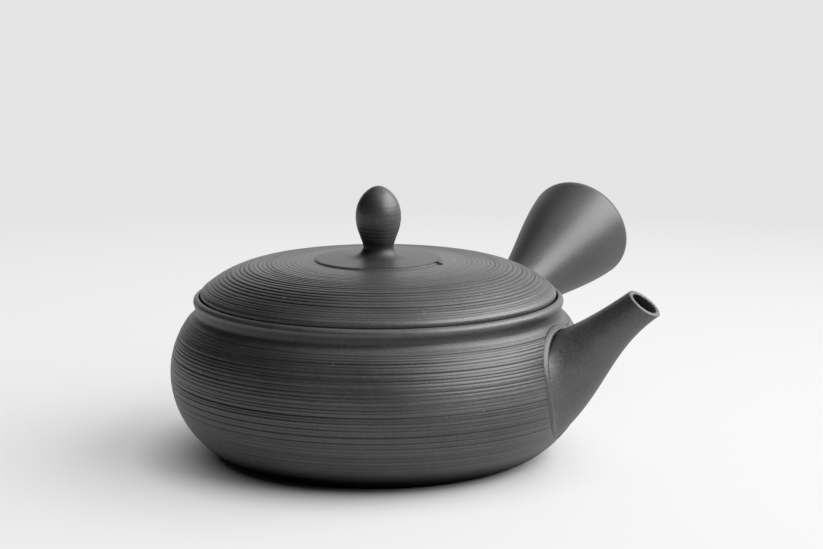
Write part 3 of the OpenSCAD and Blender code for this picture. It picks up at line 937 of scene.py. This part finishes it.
# A paler copy of the clay for the spout, with coarser grain: its higher tone is painted light
spout_clay_with_painted_light = clay_material(
    "spout_clay_with_painted_light", tone=0.07, shine_level=1.0, roughness=0.45, grain=0.6, turned=0.1
)
luting_slip = clay_material(
    "luting_slip", tone=0.067, shine_level=1.0, roughness=0.42, grain=0.4, turned=0.0
)

# Each piece with the node that it stands for, its material, the record's slot and the body that moves it
PIECES = [
    (body, "body", turned_clay, "clay", "pot"),
    (spout, "spout", spout_clay_with_painted_light, "clay", "pot"),
    (handle, "handle", smoothed_clay_with_painted_shade, "clay", "pot"),
    (spout_slip, "spout_slip", luting_slip, "slip", "pot"),
    (handle_slip, "handle_slip", luting_slip, "slip", "pot"),
    (lid, "lid", turned_clay, "clay", "lid"),
    (knob, "knob", smoothed_clay_with_painted_shade, "clay", "lid"),
]
for piece, replaced, material, slot, mover in PIECES:
    piece.data.materials.clear()
    piece.data.materials.append(material)
    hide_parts(replaced)
    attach(piece, mover)

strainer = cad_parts["strainer"]
strainer.data.materials.clear()
strainer.data.materials.append(smoothed_clay_with_painted_shade)

# Lengths from here on are in metres. The picture's directions: to its right and away from the camera
SPOUT_TURN = math.radians(24)
TO_RIGHT = np.array([math.cos(SPOUT_TURN), math.sin(SPOUT_TURN), 0])
AWAY = np.array([-math.sin(SPOUT_TURN), math.cos(SPOUT_TURN), 0])

# A plain pale floor that keeps the pot's shadow, with painted light that lifts that shadow near the pot,
# and fades to an even white further out
FLOOR_SIZE = 16
# Its colour as the camera sees it, and for the light that it throws back
FLOOR_SEEN = 0.68
FLOOR_BOUNCE = 0.46
# Distances from the pot's axis between which a glow comes in, and its shares: near the pot it is painted
# light that lifts the pot's shadow, further out an even white
PAINTED_LIGHT_FADE = (0.045, 0.07)
PAINTED_LIGHT_SHARE = 0.38
FAR_FADE = (0.1, 0.45)
FAR_WHITE = 0.62
# Strength of the glow near the pot, where it is painted light, and of the white far off
WHITE_NEAR = 1.0
WHITE_FAR = 0.78
bpy.ops.mesh.primitive_plane_add(size=FLOOR_SIZE, location=(0, 0, 0))
floor = bpy.context.object
floor.name = "floor"
paper = bpy.data.materials.new("paper")
paper.use_nodes = True
tree = paper.node_tree
path = node(tree, "ShaderNodeLightPath").outputs
sheet = tree.nodes["Principled BSDF"]
sheet.inputs["Roughness"].default_value = 0.9
sheet.inputs["Specular IOR Level"].default_value = 0.1
sheet_tone = blended(tree, path["Is Camera Ray"], grey(FLOOR_BOUNCE), grey(FLOOR_SEEN))
link(tree, sheet_tone, sheet.inputs["Base Color"])
distance = node(tree, "ShaderNodeVectorMath", operation="LENGTH")
link(tree, node(tree, "ShaderNodeNewGeometry").outputs["Position"], distance.inputs[0])
far = distance.outputs["Value"]
# Painted light: near the pot the floor glows for camera and mirror rays, which lifts the pot's shadow
painted_light_near_pot = mapped(tree, far, *PAINTED_LIGHT_FADE, high=PAINTED_LIGHT_SHARE)
far_white = mapped(tree, far, *FAR_FADE, high=FAR_WHITE)
mirrored = reckoned(tree, "MAXIMUM", path["Is Glossy Ray"], path["Is Transmission Ray"])
seen = reckoned(tree, "MAXIMUM", path["Is Camera Ray"], mirrored)
shown = reckoned(tree, "MULTIPLY", reckoned(tree, "ADD", painted_light_near_pot, far_white), seen)
paling = mapped(tree, far, *FAR_FADE, low=WHITE_NEAR, high=WHITE_FAR)
painted_light_and_white = node(tree, "ShaderNodeEmission", Strength=paling)
floor_mix = node(tree, "ShaderNodeMixShader")
link(tree, shown, floor_mix.inputs[0])
link(tree, sheet.outputs[0], floor_mix.inputs[1])
link(tree, painted_light_and_white.outputs[0], floor_mix.inputs[2])
link(tree, floor_mix.outputs[0], tree.nodes["Material Output"].inputs["Surface"])
floor.data.materials.append(paper)


def glow(tree, direction, toward, start, end, strength):
    """Light of the surroundings that rises as the direction turns to a side, between two cosines."""
    facing = node(tree, "ShaderNodeVectorMath", operation="DOT_PRODUCT")
    facing.inputs[1].default_value = np.asarray(toward, float) / np.linalg.norm(toward)
    link(tree, direction, facing.inputs[0])
    return mapped(tree, facing.outputs["Value"], start, end, high=strength, curve="SMOOTHSTEP")


# Surroundings: white behind and above the pot and to its right, and almost dark towards the camera
DIM = 0.02
world = bpy.data.worlds.new("studio")
bpy.context.scene.world = world
world.use_nodes = True
tree = world.node_tree
direction = node(tree, "ShaderNodeTexCoord").outputs["Generated"]
behind = glow(tree, direction, AWAY + 0.25 * TO_RIGHT + 0.12 * UP, start=0.6, end=0.95, strength=1.0)
above = glow(tree, direction, UP + 0.35 * TO_RIGHT, start=0.6, end=1.0, strength=0.9)
beside = glow(tree, direction, TO_RIGHT, start=0.4, end=1.0, strength=0.45)
total = reckoned(tree, "ADD", reckoned(tree, "ADD", behind, above), beside)
background = tree.nodes["Background"]
link(tree, reckoned(tree, "ADD", total, DIM), background.inputs["Strength"])
background.inputs["Color"].default_value = (1, 1, 1, 1)


# Lamps face a point at this height on the pot's axis
LAMP_AIM_H = 0.03


def soft_light(name, width, height, power, toward, distance):
    """An area light that stands in a direction from the pot and faces it."""
    lamp = bpy.data.lights.new(name, "AREA")
    lamp.shape = "RECTANGLE"
    lamp.size = height
    lamp.size_y = width
    lamp.energy = power
    stand = bpy.data.objects.new(name, lamp)
    direction = np.asarray(toward, float) / np.linalg.norm(toward)
    stand.location = direction * distance + LAMP_AIM_H * UP
    stand.rotation_euler = (0, math.acos(direction[2]), math.atan2(direction[1], direction[0]))
    bpy.context.scene.collection.objects.link(stand)


key_toward = 0.8 * TO_RIGHT - 0.1 * AWAY + 0.64 * UP
soft_light("key", width=2.0, height=1.1, power=31, toward=key_toward, distance=1.3)

# Camera: 100 mm lens, ten degrees down, the spout 24 degrees towards it from the picture's right
CAMERA_BACK = 0.62504
CAMERA_H = 0.16245
CAMERA_DOWN = 10.211
CAMERA_ASIDE = 0.841
camera_data = bpy.data.cameras.new("camera")
camera_data.lens = 100
camera_data.sensor_width = 36
camera_data.sensor_fit = "HORIZONTAL"
camera_data.clip_end = 50
camera = bpy.data.objects.new("camera", camera_data)
camera.location = -CAMERA_BACK * AWAY + CAMERA_H * UP
camera.rotation_euler = (math.radians(90 - CAMERA_DOWN), 0, SPOUT_TURN - math.radians(CAMERA_ASIDE))
bpy.context.scene.collection.objects.link(camera)
bpy.context.scene.camera = camera

bpy.context.scene.view_settings.view_transform = "Standard"
